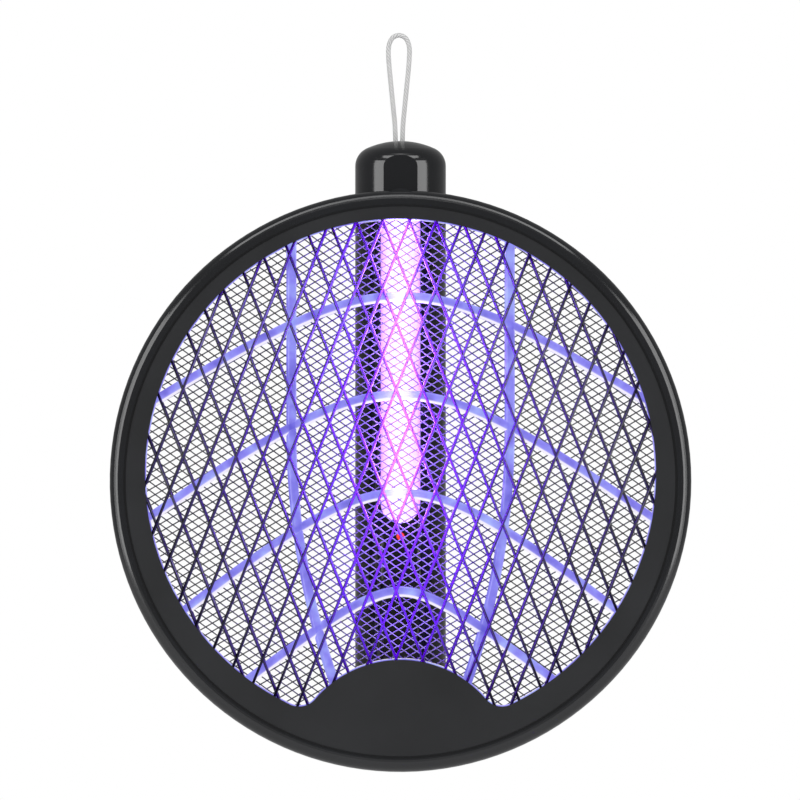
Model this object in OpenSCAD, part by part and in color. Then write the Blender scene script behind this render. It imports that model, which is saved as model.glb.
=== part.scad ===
// Folding electric fly swatter: a round three-layer mesh head hinged to a grip that folds up behind
// it. Millimetres. X runs across, Z up, and the head faces -Y. The origin is the point that the
// hanging loop rests on, at the underside of the top of the loop.

/* [Head] */
// outside diameter of the round frame
head_d = 220; // [180:1:270]
// thickness of the head, front face to back face
head_t = 22; // [18:0.5:30]
// width of the frame's face above the mesh
rim_top = 10.7; // [8:0.1:20]
// width of the frame's face below the mesh, under the rounded foot
rim_bottom = 16.1; // [12:0.1:30]
// radius of the rounded foot that stands into the mesh at the bottom
foot_r = 42.5; // [30:0.5:60]
// blend radius where the foot meets the opening
foot_blend = 8; // [4:0.5:12]
// thickness of the frame's faces
face_t = 2.2; // [1.6:0.1:3]
// thickness of the frame's side walls
wall = 2; // [1.4:0.1:3]
// width of the glossy rolled edge round the front
roll_w = 5.7; // [4:0.1:8]
// radius of the front outside edge
roll_r = 4.6; // [2:0.1:6]
// radius of the back outside edge
back_r = 3.2; // [1:0.1:5]
// height of the thumb nib at the top of the rim
nib_h = 0.8; // [0.4:0.1:2]

/* [Meshes] */
// distance that each mesh runs in under the frame
seat_w = 3.2; // [2:0.1:4]
// strand width of the outer guard meshes
guard_wire = 1.0; // [0.8:0.1:1.6]
// thickness of the outer guard meshes
guard_t = 1.0; // [0.6:0.1:1.6]
// distance between neighbouring guard strands
guard_pitch = 9.37; // [6:0.01:14]
// lean of the guard strands away from upright, degrees
guard_lean = 21.6; // [15:0.1:45]
// strand width of the inner live mesh
live_wire = 0.6; // [0.4:0.05:1]
// thickness of the inner live mesh
live_t = 0.6; // [0.4:0.05:1]
// distance between the live strands that are modelled, every third one
live_pitch = 7.95; // [5:0.01:12]
// slope of the live strands from level, degrees
live_slope = 33; // [20:0.5:45]
// turn of the whole live mesh, degrees
live_turn = -3.2; // [-10:0.1:10]
// width of the spacer's ribs
rib_w = 3.8; // [2.5:0.1:6]
// distance from the top of the opening down to the first arched rib
arch_first = 29.5; // [15:0.5:60]
// distance between arched ribs
arch_pitch = 37.2; // [25:0.1:60]
// distance of each upright rib from the middle
upright_x = 41.3; // [25:0.1:60]

/* [Handle] */
// diameter of the grip
grip_d = 34.5; // [28:0.5:44]
// thickness of the grip across its front and back flats
grip_t = 32; // [24:0.5:40]
// length of the grip
grip_l = 222.7; // [190:0.1:280]
// wall thickness of the grip
grip_wall = 2.2; // [1.6:0.1:3]
// height of the domed end
dome_h = 9.6; // [8:0.1:14]
// radius of the dome's shoulder
dome_r = 7.5; // [5:0.5:9]
// height of the loop above the dome
loop_h = 39; // [39:1:39]

/* [Hinge] */
// outside diameter of the hinge knuckles
knuckle_d = 12; // [9:0.5:16]
// diameter of the hinge pins
pin_d = 5; // [3:0.1:6]
// width of the grip's own knuckle
knuckle_w = 18.8; // [14:0.2:26]
// outside width of the two ears on the head
ears_w = 40; // [30:1:60]
// distance from the hinge axis to the bottom of the head
axis_rise = 8; // [7:0.5:14]
// gap between the head and the grip, folded and opened
fold_gap = 1.0; // [0.6:0.1:2]

/* [Lamp] */
// width of the lamp window
lamp_w = 15; // [8:0.5:15]
// length of the lamp window
lamp_l = 120; // [60:1:130]
// distance from the dome's top down to the lamp
lamp_from = 25.2; // [20:0.1:40]
// distance from the dome's top down to the indicator
indicator_from = 150.2; // [60:0.1:180]
// diameter of the indicator's light pipe
indicator_d = 3; // [2:0.1:4]

/* [Controls] */
// distance from the dome's top down to the middle of the trigger button
trigger_from = 162.2; // [150:0.1:175]
// length of the trigger button
trigger_l = 26; // [16:1:30]
// width of the trigger button
trigger_w = 11.6; // [8:0.2:12]
// travel of the trigger button
trigger_travel = 1.0; // [0.5:0.1:1.5]
// distance from the dome's top down to the middle of the slide switch's slot
slide_from = 194.2; // [188:0.1:196]
// travel of the slide switch
slide_travel = 6; // [3:0.5:7]
// width of the slide knob
knob_w = 7; // [5:0.5:9]
// length of the slide knob
knob_l = 8; // [5:0.5:10]
// distance from the dome's top down to the middle of the charging socket
port_from = 124.2; // [118:0.1:130]

/* [Electronics] */
// width of the circuit board
board_w = 27; // [20:0.5:27]
// length of the circuit board
board_l = 96; // [80:1:110]
// distance from the dome's top down to the board
board_from = 112.2; // [100:0.1:116]
// diameter of the battery cell
cell_d = 18.2; // [14:0.1:18.6]
// length of the battery cell
cell_l = 65; // [50:0.5:70]
// distance from the dome's top down to the cell
cell_from = 32.2; // [28:0.1:36]

/* [Lanyard] */
// diameter of the lanyard cord
cord_d = 1.8; // [1.2:0.1:2.4]

/* [Hidden] */
$fn = 72;
gap = 0.3;
fit = 0.06;
head_r = head_d / 2;
grip_r = grip_d / 2;
half_t = grip_t / 2;
knuckle_r = knuckle_d / 2;
pin_r = pin_d / 2;
grip_top = -loop_h;
grip_end = grip_top - grip_l;
axis_z = grip_end - axis_rise - fold_gap / 2;
axis_y = -half_t - fold_gap / 2;
head_z = axis_z - axis_rise + head_r;
back_y = axis_y - fold_gap / 2;
join_y = back_y - head_t / 2;
front_y = back_y - head_t;
// the opening: a circle with a rounded foot standing into it
open_r = (head_d - rim_top - rim_bottom) / 2;
open_z = (rim_bottom - rim_top) / 2;
open_top = open_z + open_r;
foot_z = -head_r;
blend_far = open_r - foot_blend;
blend_near = foot_r + foot_blend;
foot_gap = open_z - foot_z;
blend_up = (blend_near * blend_near - blend_far * blend_far + foot_gap * foot_gap) / (2 * foot_gap);
blend_x = sqrt(blend_near * blend_near - blend_up * blend_up);
blend_z = foot_z + blend_up;
turn_far = atan2(open_z - blend_z, blend_x);
turn_near = atan2(blend_up, blend_x);
pocket_w = seat_w + 0.2;
inner_wall = 1.6;
// layers, each one's back face
guard_front_y = front_y + face_t + guard_t;
live_y = join_y + live_t / 2;
spacer_front_y = join_y - live_t / 2;
guard_back_y = back_y - face_t;
spacer_back_y = guard_back_y - guard_t;
spacer_front_t = spacer_front_y - guard_front_y;
spacer_back_t = spacer_back_y - live_y;
// arches: drop below the crown at x is steep * (sqrt(x^2 + round^2) - round)
arches = [[0.685, 46], [0.78, 45.5], [0.855, 38], [0.78, 17]];
upright_bend = 287;
upright_bend_z = 19;
// contact tabs of the meshes, in the foot
tab_x = ears_w / 2 - 6;
tab_w = 5;
tab_top = foot_z + sqrt(pow(foot_r - seat_w / 2, 2) - pow(tab_x + tab_w / 2, 2));
tab_low = tab_top - 7;
tab_mid = tab_low + 2;
strip_w = 2.8;
notch_r = sqrt(pow(knuckle_r, 2) + pow(axis_rise, 2)) + 0.5;
notch_w = knuckle_w + 1.4;
// screws through the back of the head: angle round the rim
rim_screws = [90, 30, 150, -20, 200];
rim_screw_r = head_r - wall - 1.8;
foot_screws = [[-26, 18], [26, 18]];
screw_boss_r = 2.4;
// dome: crown arc that meets the shoulder arc smoothly
shoulder_x = grip_r - dome_r;
crown_r = (shoulder_x * shoulder_x + dome_h * dome_h - dome_r * dome_r) / (2 * (dome_h - dome_r));
crown_turn = atan2(crown_r - dome_h, shoulder_x);
wall_y = half_t - grip_wall;
cavity_r = grip_r - grip_wall;
cap_t = 3;
spigot_l = 4;
lamp_top = grip_top - lamp_from;
lamp_end = lamp_top - lamp_l;
lens_y = -wall_y + 0.8;
trough_w = 17.2;
trough_y = lens_y + 0.8;
trough_t = 4.3;
board_top = grip_top - board_from;
board_end = board_top - board_l;
board_y = 0.8;
board_t = 1.6;
board_back = board_y + board_t;
trigger_z = grip_top - trigger_from;
slide_z = grip_top - slide_from;
knob_z = slide_z - slide_travel / 2;
port_z = grip_top - port_from;
indicator_z = grip_top - indicator_from;
cell_top = grip_top - cell_from;
cell_y = wall_y - cell_d / 2 - 0.4;
shell_screws = [[0, grip_top - 16], [-11.6, board_top + 8], [11.6, board_top + 8], [0, board_end - 4]];
board_screws = [[-1, board_top - 4], [1, board_top - 4], [-1, board_end + 5], [1, board_end + 5]];
board_screw_x = board_w / 2 - 2.2;
flap_top = port_z + 3.2;
black = [0.07, 0.07, 0.075];
dark = [0.12, 0.12, 0.13];
steel = [0.72, 0.73, 0.75];
brassy = [0.8, 0.66, 0.36];
violet = [0.6, 0.52, 0.97, 0.7];

// lanyard route, x and z, from the left end inside the dome over the top to the right end
cord_route = [
  [-1.9, -44], [-1.9, -40], [-2.0, -36], [-2.2, -32], [-2.6, -28], [-3.0, -24],
  [-3.4, -20], [-3.8, -16], [-4.2, -12], [-4.5, -8], [-4.6, -4.4], [-4.1, -1.6],
  [-2.8, 0.4], [-0.6, 1.2],
  [1.6, 0.4], [2.9, -1.6], [3.4, -4.4], [3.3, -8], [3.0, -12], [2.6, -16],
  [2.2, -20], [1.8, -24], [1.4, -28], [1.0, -32], [0.8, -36], [0.7, -40], [0.7, -44]
];

// ---- shared shapes ----

function arc(cx, cz, r, a0, a1, n) =
  [for (i = [0:n]) let (a = a0 + (a1 - a0) * i / n) [cx + r * cos(a), cz + r * sin(a)]];

// outline of the opening, grown by g all round
function opening_points(g) = concat(
  arc(0, open_z, open_r + g, -turn_far, 180 + turn_far, 108),
  arc(-blend_x, blend_z, foot_blend + g, 180 + turn_far + 6, 360 - turn_near - 6, 10),
  arc(0, foot_z, foot_r - g, 180 - turn_near, turn_near, 34),
  arc(blend_x, blend_z, foot_blend + g, 180 + turn_near + 6, 360 - turn_far - 6, 10)
);

module opening(g = 0) {
  polygon(opening_points(g));
}

// a slab of the head: a flat shape in X and Z, from back_face towards the front by t
module slab(back_face, t) {
  translate([0, back_face, head_z])
    rotate([90, 0, 0])
      linear_extrude(height = t)
        children();
}

// a rod along Y between two depths
module rod_y(x, z, r, y0, y1) {
  translate([x, y1, z])
    rotate([90, 0, 0])
      cylinder(h = y1 - y0, r = r);
}

// a rod along X between two places
module rod_x(r, x0, x1) {
  translate([x0, axis_y, axis_z])
    rotate([0, 90, 0])
      cylinder(h = x1 - x0, r = r);
}

// an upright slot shape in X and Z, round at both ends
module slot_shape(w, l) {
  translate([-w / 2, -(l - w) / 2])
    square([w, l - w]);
  for (s = [-1, 1])
    translate([0, s * (l - w) / 2])
      circle(r = w / 2);
}

// that slot shape as a solid between two depths
module slot_y(z, w, l, y0, y1) {
  translate([0, y1, z])
    rotate([90, 0, 0])
      linear_extrude(height = y1 - y0)
        slot_shape(w, l);
}

module box(x0, x1, y0, y1, z0, z1) {
  translate([x0, y0, z0])
    cube([x1 - x0, y1 - y0, z1 - z0]);
}

// a wire of round section through points
module wire(points, r) {
  for (i = [0:len(points) - 2]) {
    d = points[i + 1] - points[i];
    translate(points[i])
      rotate([0, acos(d[2] / norm(d)), atan2(d[1], d[0])])
        cylinder(h = norm(d), r = r);
  }
  if (len(points) > 2)
    for (i = [1:len(points) - 2])
      translate(points[i])
        sphere(r = r * 1.3);
}

module rim_screw_places() {
  for (a = rim_screws)
    translate([rim_screw_r * cos(a), rim_screw_r * sin(a)])
      children();
  for (p = foot_screws)
    translate([p[0], foot_z + p[1]])
      children();
}

module tab(side) {
  translate([side * tab_x - tab_w / 2, tab_low])
    square([tab_w, tab_top - tab_low]);
}

module pocket() {
  opening(pocket_w);
  for (s = [-1, 1])
    translate([s * tab_x - tab_w / 2 - gap, tab_low - gap])
      square([tab_w + 2 * gap, tab_top - tab_low + gap]);
}

// the hollow of the frame between its outside wall and the wall round the pocket
module hollow() {
  difference() {
    circle(r = head_r - wall, $fn = 180);
    opening(pocket_w + inner_wall);
  }
}

// ---- head ----

module head_front_frame() {
  h = head_t / 2;
  color(black)
    difference() {
      union() {
        translate([0, join_y, head_z])
          rotate([90, 0, 0])
            rotate_extrude($fn = 180)
              polygon(concat(
                [[0, 0], [head_r, 0]],
                arc(head_r - roll_r, h - roll_r, roll_r, 0, 90, 9),
                [[head_r - roll_w + 0.5, h], [head_r - roll_w + 0.5, h - 1],
                 [head_r - roll_w - 0.4, h - 1], [head_r - roll_w - 0.4, h - 0.5], [0, h - 0.5]]
              ));
        // thumb nib at the top
        translate([0, join_y, head_z + head_r - 7])
          rotate([90, 0, 0])
            cylinder(h = h - roll_r / 2, r = 7 + nib_h);
      }
      slab(join_y + 1, head_t) opening();
      slab(join_y + 1, h - face_t + 1) pocket();
      difference() {
        slab(join_y + 1, h - face_t + 1) hollow();
        slab(join_y + 2, head_t) rim_screw_places() circle(r = screw_boss_r);
      }
      slab(join_y + 1, h - face_t) rim_screw_places() circle(r = 1);
    }
}

module ear(side) {
  x0 = notch_w / 2 + 0.1;
  rod_x(knuckle_r, side > 0 ? x0 : -ears_w / 2, side > 0 ? ears_w / 2 : -x0);
}

module head_rear_frame() {
  h = head_t / 2;
  color(black)
    difference() {
      union() {
        difference() {
          translate([0, join_y, head_z])
            rotate([-90, 0, 0])
              rotate_extrude($fn = 180)
                polygon(concat(
                  [[0, 0], [head_r, 0]],
                  arc(head_r - back_r, h - back_r, back_r, 0, 90, 7),
                  [[0, h]]
                ));
          difference() {
            slab(back_y - face_t, h) hollow();
            slab(back_y, head_t) rim_screw_places() circle(r = screw_boss_r);
            rod_x(notch_r + wall, -notch_w / 2 - wall, notch_w / 2 + wall);
          }
        }
        ear(1);
        ear(-1);
      }
      slab(back_y + 1, head_t) opening();
      slab(back_y - face_t, head_t) pocket();
      rod_x(notch_r, -notch_w / 2, notch_w / 2);
      slab(back_y + 1, head_t) rim_screw_places() circle(r = 1.3);
      slab(back_y + 1, 2.8) rim_screw_places() circle(r = 2.2);
      rod_x(pin_r + 0.01, -ears_w / 2 + 1.2, ears_w / 2 - 1.2);
      for (s = [-1, 1])
        rod_y(s * tab_x, axis_z, 1, join_y, axis_y);
    }
}

// strands of one family: normal direction a, distance p apart, offset by share o of it
module strands(a, p, w, o) {
  n = ceil((open_r + seat_w) / p) + 1;
  for (i = [-n:n])
    rotate(a)
      translate([(i + o) * p - w / 2, -head_r])
        square([w, 2 * head_r]);
}

module guard_shape() {
  intersection() {
    opening(seat_w - 0.8);
    union() {
      strands(-guard_lean, guard_pitch, guard_wire, 0.47);
      strands(guard_lean, guard_pitch, guard_wire, 0.2);
    }
  }
  difference() {
    opening(seat_w);
    opening(0.8);
  }
  tab(-1);
}

module front_guard_mesh() {
  color(dark)
    slab(guard_front_y, guard_t) guard_shape();
}

module rear_guard_mesh() {
  color(dark)
    slab(guard_back_y, guard_t) guard_shape();
}

module live_mesh() {
  color(steel)
    slab(live_y, live_t) {
      intersection() {
        opening(seat_w - 0.8);
        union() {
          strands(90 + live_slope + live_turn, live_pitch, live_wire, 0.25);
          strands(90 - live_slope + live_turn, live_pitch, live_wire, 0.25);
        }
      }
      difference() {
        opening(seat_w);
        opening(0.8);
      }
      tab(1);
    }
}

// one arched rib: crown at height z, steepness a, roundness c
module arch(z, a, c) {
  n = 26;
  x1 = head_r;
  up = [for (i = [-n:n])
    let (x = x1 * i / n, s = -a * x / sqrt(x * x + c * c), k = rib_w / 2 / sqrt(1 + s * s))
      [x - s * k, z - a * (sqrt(x * x + c * c) - c) + k]];
  low = [for (i = [n:-1:-n])
    let (x = x1 * i / n, s = -a * x / sqrt(x * x + c * c), k = rib_w / 2 / sqrt(1 + s * s))
      [x + s * k, z - a * (sqrt(x * x + c * c) - c) - k]];
  polygon(concat(up, low));
}

module upright(side) {
  turn = 24;
  outer = arc(upright_x - upright_bend, upright_bend_z, upright_bend + rib_w / 2, 0, -turn, 12);
  inner = arc(upright_x - upright_bend, upright_bend_z, upright_bend - rib_w / 2, -turn, 0, 12);
  half = concat([[upright_x + rib_w / 2, head_r]], outer, inner, [[upright_x - rib_w / 2, head_r]]);
  polygon([for (p = half) [side * p[0], p[1]]]);
}

module spacer_shape() {
  intersection() {
    opening(seat_w - 0.5);
    union() {
      for (k = [0:len(arches) - 1])
        arch(open_top - arch_first - k * arch_pitch, arches[k][0], arches[k][1]);
      upright(1);
      upright(-1);
    }
  }
  difference() {
    opening(seat_w);
    opening(-0.4);
  }
}

module front_spacer() {
  color(violet)
    slab(spacer_front_y, spacer_front_t) spacer_shape();
}

module rear_spacer() {
  color(violet)
    slab(spacer_back_y, spacer_back_t) spacer_shape();
}

module frame_screws() {
  color(steel)
    translate([0, 0, 0]) {
      slab(back_y - 0.3, 1.5) rim_screw_places() circle(r = 2);
      slab(back_y - 1.8, 12) rim_screw_places() circle(r = 1);
    }
}

module live_contact() {
  color(brassy) {
    box(tab_x - strip_w / 2, tab_x + strip_w / 2, live_y, live_y + 0.4, axis_z - 2, head_z + tab_low + 3);
    rod_y(tab_x, axis_z, 1, live_y + 0.2, axis_y - pin_r);
  }
}

module guard_contact() {
  y0 = join_y + 2.6;
  color(brassy) {
    box(-tab_x - strip_w / 2, -tab_x + strip_w / 2, y0, y0 + 0.4, axis_z - 2, head_z + tab_mid);
    rod_y(-tab_x, axis_z, 1, y0 + 0.2, axis_y - pin_r);
    rod_y(-tab_x, head_z + tab_mid, 1, guard_front_y, spacer_back_y);
  }
}

module hinge_pins() {
  color(steel)
    for (s = [-1, 1])
      rod_x(pin_r, s > 0 ? 3 : -ears_w / 2 + 1.2, s > 0 ? ears_w / 2 - 1.2 : -3);
}

module hinge_washers() {
  color(brassy)
    for (s = [-1, 1])
      difference() {
        rod_x(knuckle_r - 0.4, s > 0 ? knuckle_w / 2 + 0.1 : -notch_w / 2, s > 0 ? notch_w / 2 : -knuckle_w / 2 - 0.1);
        rod_x(pin_r + 0.02, -ears_w, ears_w);
      }
}

// ---- handle shell ----

// outline of the grip from the axis out, moved in by o, from height z0 to the dome
function grip_points(o, z0) = concat(
  [[0, z0], [grip_r - o, z0]],
  arc(shoulder_x, grip_top - dome_h, dome_r - o, 0, crown_turn - 4, 8),
  arc(0, grip_top - crown_r, crown_r - o, crown_turn, 90, 9)
);

module grip_solid(o, z0) {
  intersection() {
    rotate_extrude($fn = 144)
      polygon(grip_points(o, z0));
    box(-grip_d, grip_d, -half_t + o, half_t - o, z0 - 1, grip_top + 1);
  }
}

module shell_half(side) {
  z0 = grip_end + cap_t;
  difference() {
    intersection() {
      grip_solid(0, z0);
      box(-grip_d, grip_d, side > 0 ? 0 : -grip_t, side > 0 ? grip_t : 0, z0, 0);
    }
    grip_solid(grip_wall, z0 - 1);
  }
}

// rods from the wall to a depth, kept inside the outside surface
module bosses(places, k, r, y0, y1) {
  intersection() {
    grip_solid(grip_wall / 2, grip_end + cap_t);
    for (p = places)
      rod_y(p[0] * k, p[1], r, y0, y1);
  }
}

module cord_slot() {
  translate([-0.6, 0, grip_top - 6])
    linear_extrude(height = 8) {
      translate([-1.3, -1.2])
        square([2.6, 2.4]);
      for (s = [-1, 1])
        translate([s * 1.3, 0])
          circle(r = 1.2);
    }
}

module front_shell() {
  color(black)
    difference() {
      union() {
        shell_half(-1);
        bosses(shell_screws, 1, screw_boss_r, -grip_t, 0);
        bosses(board_screws, board_screw_x, 1.9, -grip_t, board_y);
      }
      slot_y(lamp_top - lamp_l / 2, lamp_w, lamp_l, -grip_t, -5);
      rod_y(0, indicator_z, indicator_d / 2, -grip_t, -8);
      for (p = shell_screws)
        rod_y(p[0], p[1], 1.1, -8, 1);
      for (p = board_screws)
        rod_y(p[0] * board_screw_x, p[1], 0.8, -6, board_y + 1);
      cord_slot();
    }
}

module rear_shell() {
  color(black)
    difference() {
      union() {
        shell_half(1);
        bosses(shell_screws, 1, screw_boss_r + 0.8, 0, grip_t);
        // saddles that hold the cell
        for (z = [cell_top - 10, cell_top - cell_l + 10])
          intersection() {
            grip_solid(grip_wall / 2, grip_end + cap_t);
            difference() {
              box(-grip_d, grip_d, cell_y + 2, grip_t, z - 0.8, z + 0.8);
              translate([0, cell_y, z - 2])
                cylinder(h = 4, r = cell_d / 2 + 0.05);
            }
          }
      }
      slot_y(trigger_z, trigger_w + 2 * gap, trigger_l + 2 * gap, wall_y - 0.5, grip_t);
      box(-knob_w / 2 - gap, knob_w / 2 + gap, wall_y - 0.5, grip_t,
        slide_z - (knob_l + slide_travel) / 2 - gap, slide_z + (knob_l + slide_travel) / 2 + gap);
      // recess for the flap, and the hole for the plug
      box(-6.5, 6.5, half_t - 1.2, grip_t, port_z - 4, flap_top + 0.8);
      translate([0, grip_t, port_z])
        rotate([90, 90, 0])
          linear_extrude(height = grip_t - wall_y + 0.5)
            slot_shape(3.8, 9.6);
      for (p = shell_screws) {
        rod_y(p[0], p[1], 1.3, -1, grip_t);
        rod_y(p[0], p[1], 2.3, 7, grip_t);
      }
      cord_slot();
    }
}

// from the inner end of a hinge pin up through the cap, past the screw boss, to the board
module lead_path(side, r) {
  wire([[side * 2, axis_y + 2.1, axis_z + 1], [side * 2, axis_y + 2.1, axis_z + 7.2],
        [side * 5, -9, grip_end + 2], [side * 5, -4, board_end + 2],
        [side * 5, board_y, board_end + 2]], r);
}

module end_cap() {
  color(dark)
    difference() {
      union() {
        intersection() {
          cylinder_full(grip_r, grip_end, grip_end + cap_t);
          box(-grip_d, grip_d, -half_t, half_t, grip_end - 1, grip_end + cap_t + 1);
        }
        difference() {
          intersection() {
            cylinder_full(cavity_r - 0.15, grip_end + 1, grip_end + cap_t + spigot_l);
            box(-grip_d, grip_d, -wall_y + 0.15, wall_y - 0.15, grip_end, grip_end + 20);
          }
          intersection() {
            cylinder_full(cavity_r - 2, grip_end + cap_t, grip_end + 30);
            box(-grip_d, grip_d, -wall_y + 2, wall_y - 2, grip_end, grip_end + 40);
          }
        }
        rod_x(knuckle_r, -knuckle_w / 2, knuckle_w / 2);
        box(-knuckle_w / 2, knuckle_w / 2, -half_t, axis_y + knuckle_r, axis_z, grip_end + 1);
      }
      for (s = [-1, 1])
        rod_x(pin_r + fit, s > 0 ? 1.2 : -knuckle_w, s > 0 ? knuckle_w : -1.2);
      lead_path(1, 0.95);
      lead_path(-1, 0.95);
    }
}

module cylinder_full(r, z0, z1) {
  translate([0, 0, z0])
    cylinder(h = z1 - z0, r = r, $fn = 144);
}

// ---- lamp and indicator ----

module lamp_lens() {
  color([0.95, 0.85, 1, 0.8])
    translate([0, 0, 0]) {
      slot_y(lamp_top - lamp_l / 2, lamp_w - 0.2, lamp_l - 0.2, -half_t, lens_y);
      // the flange follows the cavity it seats in
      intersection() {
        slot_y(lamp_top - lamp_l / 2, lamp_w + 1.6, lamp_l + 2.4, lens_y, trough_y);
        cylinder_full(cavity_r - 0.05, lamp_end - 3, lamp_top + 3);
      }
    }
}

module lamp_reflector() {
  color([0.95, 0.95, 0.95])
    difference() {
      box(-trough_w / 2, trough_w / 2, trough_y, trough_y + trough_t, lamp_end - 1.5, lamp_top + 1.5);
      box(-trough_w / 2 + 1, trough_w / 2 - 1, trough_y - 1, trough_y + trough_t - 0.8, lamp_end - 0.5, lamp_top + 0.5);
    }
}

module lamp_board() {
  color([0.92, 0.93, 0.94])
    box(-6, 6, trough_y + trough_t - 1.8, trough_y + trough_t - 0.8, lamp_end + 1, lamp_top - 1);
}

module lamp_leds() {
  n = 12;
  color([0.85, 0.8, 0.95])
    for (i = [0:n - 1])
      translate([-1.75, trough_y + trough_t - 2.8, lamp_end + lamp_l * (i + 0.5) / n - 1.75])
        cube([3.5, 1, 3.5]);
}

module indicator_pipe() {
  color([0.9, 0.1, 0.08, 0.8])
    rod_y(0, indicator_z, indicator_d / 2, -half_t, board_y - 2);
}

module indicator_led() {
  color([0.95, 0.9, 0.85])
    box(-1.6, 1.6, board_y - 1.8, board_y, indicator_z - 0.8, indicator_z + 0.8);
}

// ---- electronics ----

module main_board() {
  color([0.1, 0.35, 0.2])
    difference() {
      box(-board_w / 2, board_w / 2, board_y, board_back, board_end, board_top);
      for (p = board_screws)
        rod_y(p[0] * board_screw_x, p[1], 1, 0, 5);
    }
}

module transformer() {
  z = (port_z + trigger_z) / 2 + 1;
  color([0.25, 0.25, 0.27]) {
    box(-5, 5, board_back, board_back + 6.8, z - 5, z - 2);
    box(-5, 5, board_back, board_back + 6.8, z + 2, z + 5);
    box(-2, 2, board_back + 1, board_back + 5.8, z - 3, z + 3);
  }
  color([0.7, 0.4, 0.2])
    box(-4.4, 4.4, board_back + 0.4, board_back + 6.4, z - 2, z + 2);
}

module live_capacitor() {
  z = trigger_z - 14;
  color([0.75, 0.25, 0.12])
    box(-8, 8, board_y - 8, board_y, z - 9, z + 1);
}

module control_chips() {
  color([0.08, 0.08, 0.08]) {
    box(-2.5, 2.5, board_y - 1.6, board_y, slide_z - 5, slide_z + 1);
    box(5, 9, board_y - 1.6, board_y, indicator_z - 8, indicator_z - 3);
    box(-9, -5, board_back, board_back + 1.4, port_z - 16, port_z - 11);
  }
}

module battery_cell() {
  color([0.2, 0.45, 0.7])
    translate([0, cell_y, cell_top - cell_l])
      cylinder(h = cell_l, r = cell_d / 2);
}

module battery_tabs() {
  color(steel) {
    translate([0, cell_y, cell_top])
      cylinder(h = 0.4, r = 4);
    translate([0, cell_y, cell_top - cell_l - 0.4])
      cylinder(h = 0.4, r = 6);
  }
}

module battery_leads() {
  top = cell_top + 0.4;
  low = cell_top - cell_l - 0.4;
  out = cell_d / 2 + 2.2;
  color([0.75, 0.1, 0.1])
    wire([[3, cell_y, top], [3, cell_y, top + 1.4], [out, cell_y, top + 1.4], [out, cell_y, low - 0.6],
          [6.5, cell_y, low - 2.6], [6.5, board_back + 0.85, board_top + 1],
          [6.5, board_back + 0.85, board_top - 5]], 0.7);
  color([0.1, 0.1, 0.1])
    wire([[-3, cell_y, low], [-3, cell_y, low - 2.6], [-6.5, board_back + 0.85, board_top + 1],
          [-6.5, board_back + 0.85, board_top - 5]], 0.7);
}

module hinge_leads() {
  color([0.8, 0.7, 0.2])
    for (s = [-1, 1]) {
      lead_path(s, 0.6);
      rod_x(pin_r - 0.2, s > 0 ? 1.3 : -2.9, s > 0 ? 2.9 : -1.3);
    }
}

module trigger_switch() {
  color([0.3, 0.3, 0.32]) {
    box(-3, 3, board_back, board_back + 3.6, trigger_z - 3, trigger_z + 3);
    rod_y(0, trigger_z, 1.6, board_back + 3, board_back + 4.4);
  }
}

module slide_switch() {
  color([0.7, 0.7, 0.72])
    box(-2, 2, board_back, board_back + 4, slide_z - 6, slide_z + 6);
}

module charge_socket() {
  color(steel)
    difference() {
      translate([0, wall_y - 0.1, port_z])
        rotate([90, 90, 0])
          linear_extrude(height = wall_y - 0.1 - board_back)
            slot_shape(3.3, 9);
      difference() {
        translate([0, wall_y, port_z])
          rotate([90, 90, 0])
            linear_extrude(height = 7)
              slot_shape(2.7, 8.4);
        box(-3.3, 3.3, 0, wall_y - 1, port_z - 0.35, port_z + 0.35);
      }
    }
}

module board_screws() {
  color(steel)
    for (p = board_screws) {
      rod_y(p[0] * board_screw_x, p[1], 1.7, board_back, board_back + 1.2);
      rod_y(p[0] * board_screw_x, p[1], 0.8, -5, board_back + 0.5);
    }
}

module shell_screws() {
  color(steel)
    for (p = shell_screws) {
      rod_y(p[0], p[1], 2.1, 7, 8.5);
      rod_y(p[0], p[1], 1.1, -7, 7.5);
    }
}

// ---- lanyard ----

module lanyard_anchor() {
  z = cord_route[0][1];
  color(steel)
    translate([-0.6, 0, z - 5])
      cylinder(h = 5, r = 3.4);
}

// a tube with an eight-sided section through the route, closed at both ends
module lanyard_cord() {
  n = len(cord_route);
  sides = 8;
  rings = [for (i = [0:n - 1])
    let (
      a = cord_route[max(i - 1, 0)],
      b = cord_route[min(i + 1, n - 1)],
      d = (i == 0 || i == n - 1) ? [0, i == 0 ? 1 : -1] : (b - a) / norm(b - a)
    )
      for (k = [0:sides - 1])
        let (t = 360 * (k + 0.5) / sides, u = cord_d / 2 * cos(t), v = cord_d / 2 * sin(t))
          [cord_route[i][0] + d[1] * u, v, cord_route[i][1] - d[0] * u]];
  skin = [for (i = [0:n - 2]) for (k = [0:sides - 1])
    let (p = i * sides + k, q = i * sides + (k + 1) % sides)
      [p, p + sides, q + sides, q]];
  color([0.8, 0.8, 0.8])
    polyhedron(
      points = rings,
      faces = concat(
        [[for (k = [0:sides - 1]) k]],
        skin,
        [[for (k = [sides - 1:-1:0]) (n - 1) * sides + k]]
      )
    );
}

// ---- moving controls ----

module trigger_button() {
  color(dark)
    translate([0, 0, 0]) {
      slot_y(trigger_z, trigger_w, trigger_l, wall_y - 0.6, half_t + trigger_travel + 0.2);
      // the flange clears the cavity's round wall
      intersection() {
        slot_y(trigger_z, trigger_w + 2.6, trigger_l + 2.6, wall_y - 1.4, wall_y - 0.1);
        cylinder_full(cavity_r - 0.3, trigger_z - trigger_l, trigger_z + trigger_l);
      }
      rod_y(0, trigger_z, 2, board_back + 4.5 + trigger_travel, wall_y - 1);
    }
}

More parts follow.
